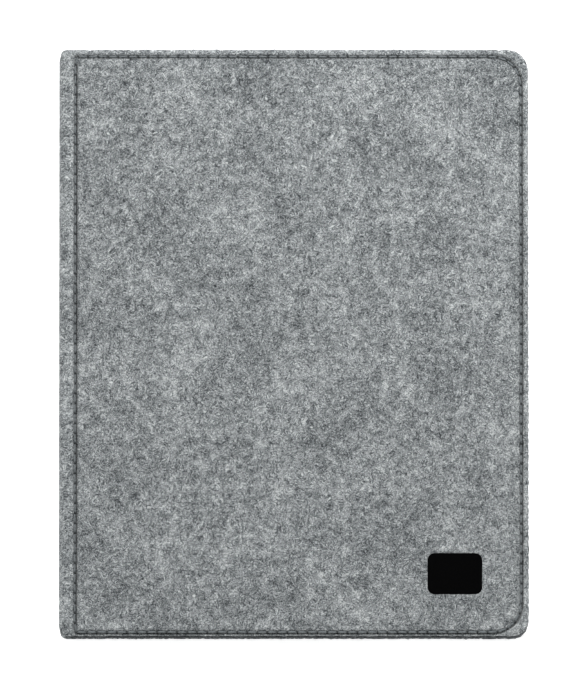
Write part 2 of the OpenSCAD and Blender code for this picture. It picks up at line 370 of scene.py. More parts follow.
def window_depth(p):
    """How far outside the clear window each point lies."""
    dx = np.maximum(np.abs(p[:, 0] + COVER_LEFT - WINDOW_X) - WINDOW_SPAN / 2, 0)
    return np.hypot(dx, p[:, 1] - WINDOW_Y) - WINDOW_R


def sheet_points(groups, outline, lower_r, margin, off_window=None):
    """The points this far inside a sheet's outline and, if it has the window, this far outside the window."""
    points = np.vstack(groups)
    keep = inside_depth(points, *outline, lower_r) > margin
    if off_window is not None:
        keep &= window_depth(points) > off_window
    return points[keep]


# The sheets: an outer face, an inner face and a rounded edge between them

# Below 1, the edge's section is squarer than half a circle.
EDGE_POWER = 0.45
# Two options of the triangulation: it keeps what is inside the loops, and joins points closer than this.
KEEP_INSIDE = 1
JOIN_WITHIN = 1e-5


def triangulate(edge_loop, hole, points):
    """Points and triangles over the inside of the edge loop, and the indices of the loops' own points."""
    coords = [Vector(p) for p in edge_loop]
    n = len(coords)
    loops = [list(range(n))]
    edges = []
    if hole is not None:
        coords += [Vector(p) for p in hole]
        edges = [(n + i, n + (i + 1) % len(hole)) for i in range(len(hole))]
    coords += [Vector(p) for p in points]
    verts, _, faces, origin, _, _ = geometry.delaunay_2d_cdt(coords, edges, loops, KEEP_INSIDE, JOIN_WITHIN)
    place = {}
    for out, sources in enumerate(origin):
        for s in sources:
            place[s] = out
    p = np.array([(v.x, v.y) for v in verts])
    f = np.array(faces)
    edge_ids = [place[i] for i in range(n)]
    hole_ids = [place[n + i] for i in range(0 if hole is None else len(hole))]
    return p, f, edge_ids, hole_ids


def make_object(name, verts, faces, attributes=(), sharp=()):
    """A smooth-shaded mesh. The verts are in millimetres in the shared frame."""
    mesh = bpy.data.meshes.new(name)
    mesh.from_pydata((np.asarray(verts) * MM).tolist(), [], faces)
    for key, values in attributes:
        values = np.asarray(values, np.float32)
        if values.ndim == 1:
            layer = mesh.attributes.new(key, "FLOAT", "POINT")
            layer.data.foreach_set("value", values)
        else:
            layer = mesh.attributes.new(key, "FLOAT_VECTOR", "POINT")
            layer.data.foreach_set("vector", values.ravel())
    mesh.update()
    mesh.validate()
    mesh.polygons.foreach_set("use_smooth", [True] * len(mesh.polygons))
    if len(sharp):
        pairs = {tuple(sorted(e)) for e in sharp}
        flags = [tuple(sorted(e.vertices)) in pairs for e in mesh.edges]
        layer = mesh.attributes.new("sharp_edge", "BOOLEAN", "EDGE")
        layer.data.foreach_set("value", flags)
    obj = bpy.data.objects.new(name, mesh)
    bpy.context.collection.objects.link(obj)
    return obj


def build_sheet(name, edge_loop, normals, points, inner_points, outer, inner, place, edge_r, flip, hole=None,
                open_from=None, rings=7, painted_shading_at=None, pattern=None):
    """A sheet with an outer face at depth outer(p), an inner face at depth inner(p) and an edge edge_r deep.

    The normals point out of the edge. place(cloth) puts the sheet's own coordinates into the shared frame.
    open_from is the place in the edge loop after which the rest of the loop is a plain flat end.
    pattern(cloth) gives the coordinates that the material's grain follows, where they aren't the sheet's own.
    The painted shading of the outer face, given per point, is painted shade up to 1, which darkens it. Below 0 it is
    painted light, which lightens it.
    """
    # 1 is the outer face and 2 is the inner face: points, triangles, indices of the edge and of the hole
    p1, f1, e1, h1 = triangulate(edge_loop, hole, points)
    p2, f2, e2, h2 = triangulate(edge_loop, hole, inner_points)
    if hole is not None:
        f1 = f1[~in_loop(p1[f1].mean(axis=1), hole)]
        f2 = f2[~in_loop(p2[f2].mean(axis=1), hole)]
    d1, d2 = outer(p1), inner(p2)
    cloth = [np.c_[p1, d1], np.c_[p2, d2]]
    base = len(p1)
    faces = [tuple(t) for t in f1] + [tuple(int(v) + base for v in t[::-1]) for t in f2]
    n = len(edge_loop) if open_from is None else open_from + 1
    top_d, low_d = d1[e1[:n]], d2[e2[:n]]
    chain = [np.array(e1[:n])]
    total = base + len(p2)
    for k in range(1, rings):
        a = math.pi * k / rings
        c, s = math.cos(a), math.sin(a)
        out = edge_r * abs(s) ** EDGE_POWER
        share = (1 - math.copysign(abs(c) ** EDGE_POWER, c)) / 2
        ring = edge_loop[:n] + normals[:n] * out
        cloth.append(np.c_[ring, top_d + (low_d - top_d) * share])
        chain.append(np.arange(total, total + n))
        total += n
    chain.append(np.array(e2[:n]) + base)
    closed = open_from is None
    for a, b in zip(chain[:-1], chain[1:]):
        for i in range(n if closed else n - 1):
            j = (i + 1) % n
            faces.append((int(a[i]), int(b[i]), int(b[j]), int(a[j])))
    sharp = []
    if not closed:
        end = [int(c[n - 1]) for c in chain]
        begin = [int(c[0]) for c in chain]
        rest = list(range(n, len(edge_loop)))
        cap = end + [e2[i] + base for i in rest] + begin[::-1] + [e1[i] for i in rest[::-1]]
        faces.append(tuple(cap[::-1]))
        sharp = [(cap[i - 1], cap[i]) for i in range(len(cap))]
    for i in range(len(h1)):
        j = (i + 1) % len(h1)
        faces.append((h1[j], h2[j] + base, h2[i] + base, h1[i]))
    cloth = np.vstack(cloth)
    if flip:
        faces = [tuple(f[::-1]) for f in faces]
    # Painted shade and painted light on the outer face, which the material reads
    painted_shading = np.zeros(len(cloth))
    if painted_shading_at is not None:
        painted_shading[:base] = painted_shading_at(p1)
    grain = cloth if pattern is None else pattern(cloth)
    return make_object(name, place(cloth), faces, [("cloth", grain), ("painted_shading", painted_shading)], sharp)


def in_loop(p, loop):
    """Which points lie inside a convex loop that runs anticlockwise."""
    inside = np.ones(len(p), bool)
    for a, b in zip(loop, np.roll(loop, -1, axis=0)):
        d = b - a
        if np.hypot(*d) > 1e-9:
            inside &= d[0] * (p[:, 1] - a[1]) - d[1] * (p[:, 0] - a[0]) > 0
    return inside


# How far from its end the spine is drawn in to round its corners
CORNER_REACH = 9


def on_cover(cloth, front):
    """From the sheet's own coordinates (across, up, depth) to the shared frame.

    The felt lies flat on the cover, goes round the bend and runs up the spine.
    """
    u, y, d = cloth.T
    angle = np.clip(-u / BEND_R, 0, math.pi / 2)
    x = COVER_LEFT + np.maximum(u, 0) - (FOLD_R - d) * np.sin(angle)
    z = FOLD_R - (FOLD_R - d) * np.cos(angle) + np.maximum(-u - BEND_L, 0)
    into = np.clip(LEFT + SPINE_R - x, 0, SPINE_R)
    shorter = SPINE_R - np.sqrt(SPINE_R ** 2 - into ** 2)
    y = y - np.sign(y) * shorter * smooth((np.abs(y) - (TOP - CORNER_REACH)) / CORNER_REACH)
    return np.c_[x, y, CASE_T - z if front else z]


def normals_of(loop, closed=True):
    """The unit vectors that point out of an anticlockwise loop at each of its points."""
    before, after = np.roll(loop, 1, axis=0), np.roll(loop, -1, axis=0)
    if not closed:
        before[0], after[-1] = loop[0], loop[-1]
    t = after - before
    t /= np.hypot(t[:, 0], t[:, 1])[:, None]
    return right_of(t)


def seam_rows(offsets, step):
    """Points beside the seam, at these distances from it."""
    n = round(SEAM_LENGTH / step)
    at, direction, _ = along(SEAM_LOOP, np.arange(n) * SEAM_LENGTH / n)
    side = right_of(direction)
    return np.vstack([at + side * q for q in offsets])


def spread(box, inset, step, rng, jitter=0.3):
    """A loose grid of points inside a box, this far in from its sides."""
    x0, x1, y0, y1 = grown(box, -inset)
    xs = np.linspace(x0, x1, max(2, round((x1 - x0) / step)))
    ys = np.linspace(y0, y1, max(2, round((y1 - y0) / step)))
    grid = np.array([(x, y) for x in xs for y in ys])
    return grid + rng.uniform(-jitter, jitter, grid.shape) * step


# Felt

EDGE_R = 0.45
GROOVE_DEPTH = 0.62
GROOVE_HALF_W = 0.9
CREASE_DEPTH = 0.35
CREASE_HALF_W = 0.35
HOLE_DEPTH = 0.75
RIM_DROP = 0.7
RIM_W = 2.3
BADGE_DIP = 0.16
# The felt's own hole is wider than the clear window, and the felt is pressed flat under the grommet's flange.
FELT_HOLE = 1.6
FLANGE_DIP = 0.86
# How much painted shade darkens the felt, and how much painted light lightens it
HOLE_PAINTED_SHADE = 0.9
GROOVE_PAINTED_SHADE = 0.43
CREASE_PAINTED_SHADE = 0.8
RIM_PAINTED_LIGHT = 0.36
SPINE_PAINTED_LIGHT = 0.135
BOTTOM_RIM_PAINTED_SHADE = 0.25
FRINGE_PER_MM = 9
FIBRE_ROOT = 0.75
# The stitches are pulled to one side of their groove, and a crease opens on the other.
GROOVE_SHIFT = np.array([0.05, -0.08])
CREASE_SHIFT = np.array([0.34, -0.44])


def cut_edge():
    """The felt's cut edge, which starts and ends in the middle of the spine, and its length."""
    whole = rounded_loop(*FELT_OUTLINE, 0.3, LOWER_FREE_R)
    chain = np.vstack([[(U_MIN, BOTTOM)], whole[whole[:, 0] > U_MIN + 0.05], [(U_MIN, TOP)]])
    return chain, np.hypot(*np.diff(chain, axis=0).T).sum()


def off_spine(p):
    """0 in the middle of the spine, where the two sheets meet, and 1 from a little further on."""
    return smooth((p[:, 0] - U_MIN) / 4)


def unrolled(cloth, front):
    """Coordinates in which the front cover's felt runs on round the spine to the back cover's."""
    cloth = np.array(cloth, float)
    if not front:
        cloth[:, 0] = 2 * U_MIN - cloth[:, 0]
    return cloth


def crease_at(p):
    """How near each point is to the crease beside the stitches, from 0 to 1. It is weak along the top."""
    weak = 1 - 0.9 * smooth((p[:, 1] - SEAM_BOX[3] + 4) / 3)
    return weak * np.exp(-(seam_distance(p - CREASE_SHIFT)[0] / CREASE_HALF_W) ** 2)


def felt_sheet(front):
    """One cover's felt with its half of the spine."""
    seed = 3.0 if front else 41.0
    rng = np.random.default_rng(7 if front else 8)
    chain, length = cut_edge()
    count = round(length / 0.4)
    edge, _, _ = along(chain, np.linspace(0, length - 1e-6, count + 1), closed=False)
    out = normals_of(edge, closed=False)
    out[0], out[-1] = (0, -1), (0, 1)
    rough = 0.12 * wander(edge, 3.4, seed) + 0.3 * wander(edge, 1.3, seed + 9)
    edge = edge - out * (EDGE_R + 0.05 - rough * off_spine(edge))[:, None]
    edge[0, 0] = edge[-1, 0] = U_MIN
    n = len(edge)
    y0, y1 = edge[0, 1], edge[-1, 1]
    end_count = round(y1 - y0)
    end = np.array([(U_MIN, y1 + (y0 - y1) * i / end_count) for i in range(1, end_count)])
    loop = np.vstack([edge, end])
    out = np.vstack([out, np.tile((-1.0, 0.0), (len(end), 1))])
    # Columns across the bend and the spine
    spine_u = np.concatenate([np.linspace(-BEND_L, 1.0, 20), np.linspace(U_MIN, -BEND_L, 12)[1:-1]])

    def spine_strip(rows):
        return np.array([(u, y) for u in spine_u for y in np.linspace(BOTTOM + 1, TOP - 1, rows)])

    fine = seam_rows([-1.0, -0.75, -0.5, -0.25, 0, 0.25, 0.5, 0.75, 1.0], 0.5)
    coarse = seam_rows([-4.6, -3.4, -2.6, -2.0, -1.5, 1.5, 2.0], 0.9)
    groups = [fine, coarse, spine_strip(249), spread(SEAM_BOX, 5, 2.2, rng)]
    if front:
        hole, off_window = None, None
        for by in (-0.8, -0.2, 0.1, 0.5, 1.0):
            groups.append(rounded_loop(*grown(BADGE_BOX, by), BADGE_R + by, BADGE_R + by, 0.7))
    else:
        hole, off_window = window_loop(FELT_HOLE, 0.7), FELT_HOLE + 0.5
        groups += [window_loop(by, 0.7) for by in (2.6, 3.7, 4.0, 4.2, 4.5, 5.0, 6.0)]
    points = sheet_points(groups, FELT_OUTLINE, LOWER_FREE_R, EDGE_R + 0.45, off_window)
    points = points[points[:, 0] > U_MIN + 0.3]
    # The inside is seen at the bend and, thinly, round the hem.
    groups = [spread(COVER_BOX, 3, 8, rng, 0.2), spine_strip(126)]
    inner_points = sheet_points(groups, FELT_OUTLINE, LOWER_FREE_R, EDGE_R + 0.4, off_window)
    inner_points = inner_points[inner_points[:, 0] > U_MIN + 0.3]

    def outer(p):
        off, place = seam_distance(p - GROOVE_SHIFT)
        hole_off = hole_distance(place)
        mid = 1 - smooth(hole_off / (PITCH / 2))
        groove = GROOVE_DEPTH / (1 + (off / (GROOVE_HALF_W + 0.08 * mid)) ** 6)
        groove += CREASE_DEPTH * crease_at(p)
        holes = HOLE_DEPTH * np.exp(-(hole_off / 0.45) ** 2) * np.exp(-(off / 0.5) ** 2)
        lips = 0.05 * np.exp(-((off - 1.55) / 0.4) ** 2)
        rim = RIM_DROP * smooth(1 - inside_depth(p, *FELT_OUTLINE, LOWER_FREE_R) / RIM_W)
        uneven = 0.045 * wander(p, 9.0, seed + 2) + 0.035 * wander(p, 3.2, seed + 5)
        uneven += 0.02 * wander(p, 1.2, seed + 6)
        d = groove + holes - lips + rim
        d += off_spine(p) * uneven
        if front:
            d += BADGE_DIP * smooth((inside_depth(p, *BADGE_BOX, BADGE_R, BADGE_R) + 0.5) / 0.7)
        else:
            d += FLANGE_DIP * smooth((FLANGE_W + 0.25 - window_depth(p)) / 0.3)
        return d

    def inner(p):
        return FELT_T - off_spine(p) * (0.02 + 0.02 * wander(p, 3.0, seed + 20))

    # Painted shade and painted light on the felt's outer face: up to 1 is the darkest painted shade, below 0 is
    # painted light
    def painted_shading_at(p):
        off, place = seam_distance(p - GROOVE_SHIFT)
        hole_off = hole_distance(place)
        # Painted shade: near-black dots in the needle holes
        holes = HOLE_PAINTED_SHADE * np.exp(-(hole_off / 0.5) ** 4) * np.exp(-(off / 0.75) ** 4)
        # How near each point is to the bottom edge; there the rim gets painted shade, and the groove and crease a
        # little less painted shade
        near_bottom = smooth((BOTTOM + 4 - p[:, 1]) / 3)
        # Painted shade in the groove beside the stitches
        band = (GROOVE_PAINTED_SHADE - 0.1 * near_bottom) * smooth(1.6 - off / 0.75)
        # Painted shade on the bottom rim and painted light on the other rims
        rim = smooth(1 - inside_depth(p, *FELT_OUTLINE, LOWER_FREE_R) / (2.6 - 0.6 * near_bottom))
        base = rim * (BOTTOM_RIM_PAINTED_SHADE * near_bottom - RIM_PAINTED_LIGHT * (1 - near_bottom))
        # Painted light along the spine's side of the cover
        base -= SPINE_PAINTED_LIGHT * smooth((2.2 - p[:, 0]) / 1.4) * (1 - 0.5 * rim)
        # Painted shade: a dark line in the crease beside the stitches
        crease = (CREASE_PAINTED_SHADE - 0.32 * near_bottom) * crease_at(p)
        return base + np.maximum(np.maximum(band, crease), holes)

    name = "front_felt_sheet" if front else "back_felt_sheet"
    return build_sheet(
        name, loop, out, points, inner_points, outer, inner, lambda c: on_cover(c, front), EDGE_R,
        not front, hole, open_from=n - 1, painted_shading_at=painted_shading_at, pattern=lambda c: unrolled(c, front),
    )


front_felt = felt_sheet(True)
back_felt = felt_sheet(False)


def fringe(name, front):
    """Loose fibres that stand out of the felt's cut edge, each a thin closed tapering strand.

    Each fibre has a single shade, read from the felt's pattern near its root.
    """
    rng = np.random.default_rng(31 if front else 32)
    chain, length = cut_edge()
    count = round(length * FRINGE_PER_MM)
    place = np.sort(rng.uniform(0.4, length - 0.4, count))
    root, direction, _ = along(chain, place, closed=False)
    out = right_of(direction)
    length_out = np.clip(rng.gamma(2.0, 0.27, count), 0.15, 1.7)
    lean = rng.normal(0, 0.75, count)
    curl = rng.normal(0, 0.9, count)
    depth = rng.uniform(0.75, FELT_T - 0.15, count)
    rise = rng.normal(0, 0.35, count)
    wide = rng.uniform(0.018, 0.036, count)
    segments, sides = 4, 3
    verts, cloth, faces = [], [], []
    for k in range(count):
        grain = (root[k][0] + 3, root[k][1], 0.3 * k % 7)
        path, at, heading = [], root[k] - out[k] * FIBRE_ROOT, lean[k]
        for i in range(segments + 1):
            t = i / segments
            d = np.clip(depth[k] + rise[k] * length_out[k] * t * t, 0.15, FELT_T + 0.1)
            path.append((*at, d))
            step = (length_out[k] + 0.5) / segments
            ahead = out[k] * math.cos(heading) + direction[k] * math.sin(heading)
            at = at + ahead * step
            heading = np.clip(heading + curl[k] / segments, -1.4, 1.4)
        path = np.array(path)
        base = len(verts)
        for i in range(segments):
            r = wide[k] * (1 - 0.5 * (i / segments))
            for j in range(sides):
                a = 2 * math.pi * j / sides
                verts.append(path[i] + r * np.array([*direction[k] * math.cos(a), math.sin(a)]))
                cloth.append(grain)
        verts.append(path[-1])
        cloth.append(grain)
        tip = len(verts) - 1
        faces.append((base + 2, base + 1, base))
        for i in range(segments - 1):
            for j in range(sides):
                a0, a1 = base + i * sides + j, base + i * sides + (j + 1) % sides
                faces.append((a0, a1, a1 + sides, a0 + sides))
        last = base + (segments - 1) * sides
        for j in range(sides):
            faces.append((last + j, last + (j + 1) % sides, tip))
    if front:
        faces = [f[::-1] for f in faces]
    attributes = [("cloth", unrolled(cloth, front)), ("painted_shading", np.zeros(len(verts)))]
    return make_object(name, on_cover(np.array(verts), front), faces, attributes)


front_fringe = fringe("front_fringe", True)
back_fringe = fringe("back_fringe", False)


# Linings

LINING_EDGE_R = 0.2
LINING_SPINE_R = 1.2
LINING_HOLE = 1.55
LINING_GROOVE = 0.22
SPINE_LINING_R = 0.7
# The lining starts to rise this far outside the board and is fully up after the slope's width.
SLOPE_START = 1.05
SLOPE_W = 1.5


def board_rise(p):
    """How far the board lifts the lining at each point."""
    return BOARD_T * smooth((inside_depth(p, *BOARD_BOX, BOARD_SPINE_R, BOARD_R) + SLOPE_START) / SLOPE_W)


def lining_sheet(front):
    """One cover's lining, which steps up over the board."""
    seed = 90.0 if front else 130.0
    rng = np.random.default_rng(17 if front else 18)
    outline = (*grown(COVER_BOX, -LINING_EDGE), LINING_SPINE_R, FREE_R - LINING_EDGE)
    lower_r = LOWER_FREE_R - LINING_EDGE
    loop = rounded_loop(*outline, 0.9, lower_r)
    out = normals_of(loop)
    loop = loop - out * (LINING_EDGE_R + 0.04 - 0.05 * wander(loop, 3.0, seed))[:, None]
    rows = [-3.4, -2.9, -2.4, -2.1, -1.8, -1.5, -1.2, -0.9, -0.6, -0.3, 0, 0.3, 0.6, 1.0]
    groups = [seam_rows(rows, 0.75), seam_rows([-5, -7, 1.6], 1.6), spread(SEAM_BOX, 5, 3.0, rng)]
    if front:
        hole, off_window = None, None
    else:
        hole, off_window = window_loop(LINING_HOLE, 0.7), LINING_HOLE + 0.45
        groups.append(window_loop(2.3, 0.8))
    points = sheet_points(groups, outline, lower_r, LINING_EDGE_R + 0.45, off_window)
    hidden = [spread(COVER_BOX, 2, 6.0, rng, 0.2)]
    under_points = sheet_points(hidden, outline, lower_r, LINING_EDGE_R + 0.6, off_window)

    def seen(p):
        off, place = seam_distance(p)
        holes = 0.2 * np.exp(-(hole_distance(place) / 0.4) ** 2) * np.exp(-(off / 0.4) ** 2)
        groove = LINING_GROOVE / (1 + (off / 0.7) ** 6) + holes
        return HEM_T + board_rise(p) - groove - 0.05 * np.abs(wander(p, 14.0, seed + 1)) - 0.02

    def under(p):
        return np.maximum(HEM_T + board_rise(p) - LINING_T, FELT_T + 0.02)

    def place(c):
        z = c[:, 2]
        return np.c_[COVER_LEFT + c[:, 0], c[:, 1], CASE_T - z if front else z]

    name = "front_lining_sheet" if front else "back_lining_sheet"
    return build_sheet(
        name, loop, out, points, under_points, seen, under, place, LINING_EDGE_R, front, hole, rings=4,
    )


def spine_lining_sheet():
    """The strip over the spine's board; its own coordinates run up the spine's inside."""
    low, high = box_mm("spine_lining")
    rng = np.random.default_rng(19)
    box = (low[2], high[2], low[1], high[1])
    outline = (*box, SPINE_LINING_R, SPINE_LINING_R)
    loop = rounded_loop(*outline, 0.8)
    out = normals_of(loop)
    loop = loop - out * LINING_EDGE_R
    radii = outline[4:]
    rows = [rounded_loop(*grown(box, -q), *radii, 1.2) for q in (0.5, 0.8, 1.1, 1.4, 1.8)]
    middle = spread(box, 2.4, 1.8, rng, 0.2)
    points = np.vstack(rows + [middle])

    def seen(p):
        rise = (high[0] - low[0] - LINING_T) * smooth((inside_depth(p, *outline) - 0.1) / 1.3)
        return LINING_T + rise - 0.03 * np.abs(wander(p, 6.0, 160.0))

    def under(p):
        return np.full(len(p), 0.02)

    def place(c):
        return np.c_[low[0] + c[:, 2], c[:, 1], c[:, 0]]

    return build_sheet(
        "spine_lining_sheet", loop, out, points, middle, seen, under, place, LINING_EDGE_R, True, rings=4,
    )


front_lining = lining_sheet(True)
back_lining = lining_sheet(False)
spine_lining = spine_lining_sheet()


# Stitches: two plies twisted round each other, from hole to hole

NEEDLE_PLY_R = 0.21
BOBBIN_PLY_R = 0.19
PLY_OFFSET = 0.15
TWISTS = 1.45
HOLE_REACH = 0.55


def stitch_ring(name, front, needle, seed):
    """Every stitch of one seam, seen on the outside (needle) or on the lining.

    The attribute cloth runs along and round the thread, and the other attribute is painted shade, 1 where the thread
    goes into its hole.
    """
    rng = np.random.default_rng(seed)
    holes, _, _ = along(SEAM_LOOP, np.arange(STITCHES) * PITCH)
    ply_r = NEEDLE_PLY_R if needle else BOBBIN_PLY_R
    pulled = np.array([-0.2, 0.16]) if needle else np.zeros(2)
    segments, sides = 15, 6
    s = np.linspace(0, 1, segments)
    s = s - 0.055 * np.sin(2 * math.pi * s)
    ring = np.linspace(0, 2 * math.pi, sides, endpoint=False)
    verts, cloth, painted_shading, faces = [], [], [], []
    for k in range(STITCHES):
        a, b = holes[k], holes[(k + 1) % STITCHES]
        span = b - a
        length = math.hypot(*span)
        forward = span / length
        side = np.array([forward[1], -forward[0]])
        lean = rng.uniform(-0.07, 0.07, 2)
        twist = rng.uniform(0, 2 * math.pi)
        turns = TWISTS + rng.uniform(-0.1, 0.1)
        sunk = rng.uniform(-0.03, 0.05)
        ends = np.exp(-(s * length / HOLE_REACH) ** 2) + np.exp(-((1 - s) * length / HOLE_REACH) ** 2)
        top = (0.26 if needle else 0.2) + sunk + ends * (1.0 if needle else 0.6)
        for ply in (0, math.pi):
            turn = twist + ply + turns * 2 * math.pi * s
            across = PLY_OFFSET * np.cos(turn) * (1 - 0.45 * ends) + lean[0] * (1 - s) + lean[1] * s
            depth = top + PLY_OFFSET * 0.55 * np.sin(turn)
            path = np.c_[a + np.outer(s, span) + np.outer(across, side) + np.outer(1 - ends, pulled), depth]
            tangent = np.gradient(path, axis=0)
            tangent /= np.linalg.norm(tangent, axis=1)[:, None]
            n1 = np.cross(tangent, (0, 0, 1.0))
            n1 /= np.linalg.norm(n1, axis=1)[:, None]
            n2 = np.cross(tangent, n1)
            thick = ply_r * (1 - 0.2 * ends)
            base = len(verts)
            for i in range(segments):
                for r in ring:
                    verts.append(path[i] + thick[i] * (math.cos(r) * n1[i] + math.sin(r) * n2[i]))
                    cloth.append((k * PITCH + s[i] * length, r * ply_r, ply))
                    # Painted shade where the thread goes into its hole
                    painted_shading.append(ends[i])
            for i in range(segments - 1):
                for j in range(sides):
                    a0, a1 = base + i * sides + j, base + i * sides + (j + 1) % sides
                    faces.append((a0, a0 + sides, a1 + sides, a1))
    verts = np.array(verts)
    if needle:
        placed = on_cover(verts, front)
    else:
        d = HEM_T - verts[:, 2]
        placed = np.c_[COVER_LEFT + verts[:, 0], verts[:, 1], CASE_T - d if front else d]
    if front == needle:
        faces = [f[::-1] for f in faces]
    return make_object(name, placed, faces, [("cloth", cloth), ("painted_shading", painted_shading)])


front_stitches = stitch_ring("front_stitches", True, True, 21)
front_inside_stitches = stitch_ring("front_inside_stitches", True, False, 22)
back_stitches = stitch_ring("back_stitches", False, True, 23)
back_inside_stitches = stitch_ring("back_inside_stitches", False, False, 24)


# Badge: a plain film pressed into the felt

def badge_film():
    """The film's rounded rim, with a top and a bottom of one face each."""
    loop = rounded_loop(BADGE_LOW[0], BADGE_HIGH[0], BADGE_LOW[1], BADGE_HIGH[1], BADGE_R, BADGE_R, 0.5)
    out = normals_of(loop)
    # How far each row lies out of the outline and above the top of the CAD's film, from the bottom up
    profile = [(0.0, -0.3), (0.0, -0.02), (-0.06, 0.05), (-0.16, 0.08), (-0.5, 0.085)]
    top = BADGE_HIGH[2]
    verts, faces = [], []
    n = len(loop)
    for q, z in profile:
        verts += [(x, y, top + z) for x, y in loop + out * q]
    for k in range(len(profile) - 1):
        for i in range(n):
            j = (i + 1) % n
            faces.append((k * n + i, k * n + j, (k + 1) * n + j, (k + 1) * n + i))
    faces.append(tuple(range((len(profile) - 1) * n, len(profile) * n)))
    faces.append(tuple(range(n))[::-1])
    return make_object("badge_film", verts, faces)


badge = badge_film()


# Materials

class Graph:
    """A short way to write a material's nodes."""

    def __init__(self, name):
        self.material = bpy.data.materials.new(name)
        self.material.use_nodes = True
        self.tree = self.material.node_tree
        self.tree.nodes.clear()
        out = self.tree.nodes.new("ShaderNodeOutputMaterial")
        self.shader = self.tree.nodes.new("ShaderNodeBsdfPrincipled")
        self.tree.links.new(self.shader.outputs[0], out.inputs[0])

    def put(self, socket, value):
        """Links the socket to another node's output, or sets it to a constant."""
        if isinstance(value, bpy.types.NodeSocket):
            self.tree.links.new(value, socket)
        else:
            socket.default_value = value

    def node(self, kind, inputs=(), **settings):
        n = self.tree.nodes.new("ShaderNode" + kind)
        for key, value in settings.items():
            setattr(n, key, value)
        for key, value in dict(inputs).items():
            self.put(n.inputs[key], value)
        return n

    def set(self, **sockets):
        """Sets the shader's sockets and returns the material."""
        for key, value in sockets.items():
            self.put(self.shader.inputs[key.replace("_", " ")], value)
        return self.material

    def math(self, operation, a, b=0.0, c=0.0, clamp=False):
        return self.node("Math", {0: a, 1: b, 2: c}, operation=operation, use_clamp=clamp).outputs[0]

    def add(self, *values):
        total = values[0]
        for v in values[1:]:
            total = self.math("ADD", total, v)
        return total

    def weighted(self, *layers):
        """The sum of the layers, each given with its weight."""
        return self.add(*(self.math("MULTIPLY", layer, weight) for layer, weight in layers))

    def scaled(self, vector, factor):
        return self.node("VectorMath", {0: vector, 3: factor}, operation="SCALE").outputs[0]

    def noise(self, vector, scale, detail=2.0, roughness=0.5, distortion=0.0):
        inputs = {"Vector": vector, "Scale": scale, "Detail": detail}
        inputs.update({"Roughness": roughness, "Distortion": distortion})
        return self.node("TexNoise", inputs).outputs["Fac"]

    def streaks(self, vector, angle, length, width, detail=2.0, roughness=0.6, distortion=0.0, shift=None):
        """Noise stretched along one direction, turned about the sheet's normal."""
        inputs = {"Vector": vector, "Rotation": (0, 0, angle), "Scale": (length, width, width)}
        if shift is not None:
            inputs["Location"] = shift
        turned = self.node("Mapping", inputs, vector_type="TEXTURE").outputs[0]
        return self.noise(turned, 1.0, detail, roughness, distortion)

    def ramp(self, value, stops):
        n = self.node("ValToRGB", {"Fac": value})
        ramp = n.color_ramp
        while len(ramp.elements) < len(stops):
            ramp.elements.new(0.5)
        for e, (at, colour) in zip(ramp.elements, stops):
            e.position = at
            e.color = (*colour, 1)
        return n.outputs[0]

    def range(self, value, a, b, c, d, smooth_steps=False):
        """The value with a to b stretched to c to d."""
        inputs = {"Value": value, "From Min": a, "From Max": b, "To Min": c, "To Max": d}
        kind = "SMOOTHSTEP" if smooth_steps else "LINEAR"
        return self.node("MapRange", inputs, interpolation_type=kind).outputs[0]

    def bump(self, height, distance, strength):
        return self.node("Bump", {"Height": height, "Distance": distance, "Strength": strength}).outputs[0]

    def attribute(self, name, output="Vector"):
        return self.node("Attribute", attribute_name=name).outputs[output]

    def place(self):
        """The shared frame's coordinates in millimetres; the objects lie at the origin."""
        return self.scaled(self.node("TexCoord").outputs["Object"], 1000.0)


FIBRE_GAIN = 1.56
CLOUD_GAIN = 0.75
CLUMP_GAIN = 0.76
FLECK_GAIN = 0.9


